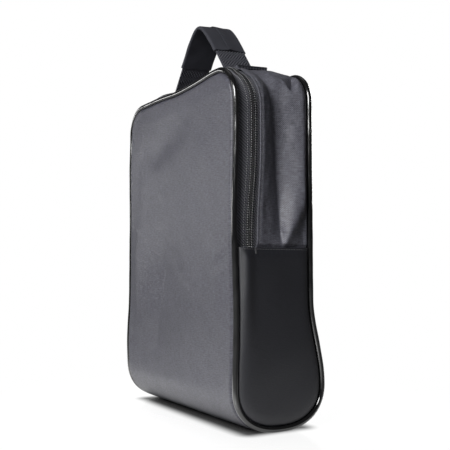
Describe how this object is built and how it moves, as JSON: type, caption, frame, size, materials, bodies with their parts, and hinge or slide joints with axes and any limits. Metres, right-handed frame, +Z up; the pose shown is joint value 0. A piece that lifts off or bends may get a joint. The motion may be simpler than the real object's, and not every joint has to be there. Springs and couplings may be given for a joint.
{
  "type": "golf shoe bag",
  "caption": "Upright shoe bag with a rounded base, piped edges, side gussets, a zipped front flap that folds down and a webbing carry handle with a fabric grip.",
  "frame": {"origin": "on the floor, under the middle of the bag's bounding box", "axes": "+Z up, X along the width, the front panel and its flap face -Y, the zip slider rests on the -X gusset"},
  "size_m": [0.2672, 0.1136, 0.4599],
  "materials": {
    "grey_nylon": "fine plain-weave nylon with a soft sheen",
    "black_gusset": "smooth taut black nylon",
    "board": "thin stiffener sheet",
    "lining": "thin black taffeta lining",
    "binding": "woven binding tape",
    "piping": "glossy black vinyl piping",
    "zip_tape": "twill zip tape",
    "zip_coil": "moulded nylon coil",
    "webbing": "ribbed woven webbing",
    "sleeve": "folded nylon grip sleeve",
    "slider_metal": "satin black plated slider"
  },
  "bodies": {
    "bag_body": {"wrap_panel": "grey_nylon", "wrap_stiffener": "board", "wrap_lining": "lining", "upper_gusset": "grey_nylon", "lower_gusset_right": "black_gusset", "lower_gusset_left": "black_gusset", "gusset_seam_tape_right": "binding", "gusset_seam_tape_left": "binding", "body_piping": "piping", "seam_binding": "binding", "rear_zip_tape": "zip_tape", "rear_zip_coil": "zip_coil", "front_tape_end_right": "zip_tape", "front_tape_end_left": "zip_tape", "front_coil_end_right": "zip_coil", "front_coil_end_left": "zip_coil", "handle_foot_right": "webbing", "handle_foot_left": "webbing", "handle_backing_right": "board", "handle_backing_left": "board"},
    "front_flap": {"flap_panel": "grey_nylon", "flap_stiffener": "board", "flap_lining": "lining", "flap_piping": "piping", "front_zip_tape": "zip_tape", "front_zip_coil": "zip_coil"},
    "slider": {"zip_slider": "slider_metal"},
    "pull_tab": {"zip_pull": "slider_metal"},
    "carry_handle": {"handle_webbing": "webbing", "handle_sleeve": "sleeve"}
  },
  "joints": [
    {"name": "flap_open", "type": "hinge", "parent": "bag_body", "child": "front_flap", "pos_m": [0, -0.0568, 0.212], "axis": [1, 0, 0], "range_deg": [0, 135]},
    {"name": "slider_travel", "type": "slide", "parent": "bag_body", "child": "slider", "axis": [0, 0, 1], "range_m": [0, 0.126]},
    {"name": "pull_swing", "type": "hinge", "parent": "slider", "child": "pull_tab", "pos_m": [-0.13195, -0.0357, 0.2], "axis": [0, 1, 0], "range_deg": [0, 165]},
    {"name": "handle_tilt", "type": "hinge", "parent": "bag_body", "child": "carry_handle", "pos_m": [0, -0.0065, 0.3843], "axis": [1, 0, 0], "range_deg": [-30, 30], "stiffness_Nm_per_rad": 0.15}
  ]
}
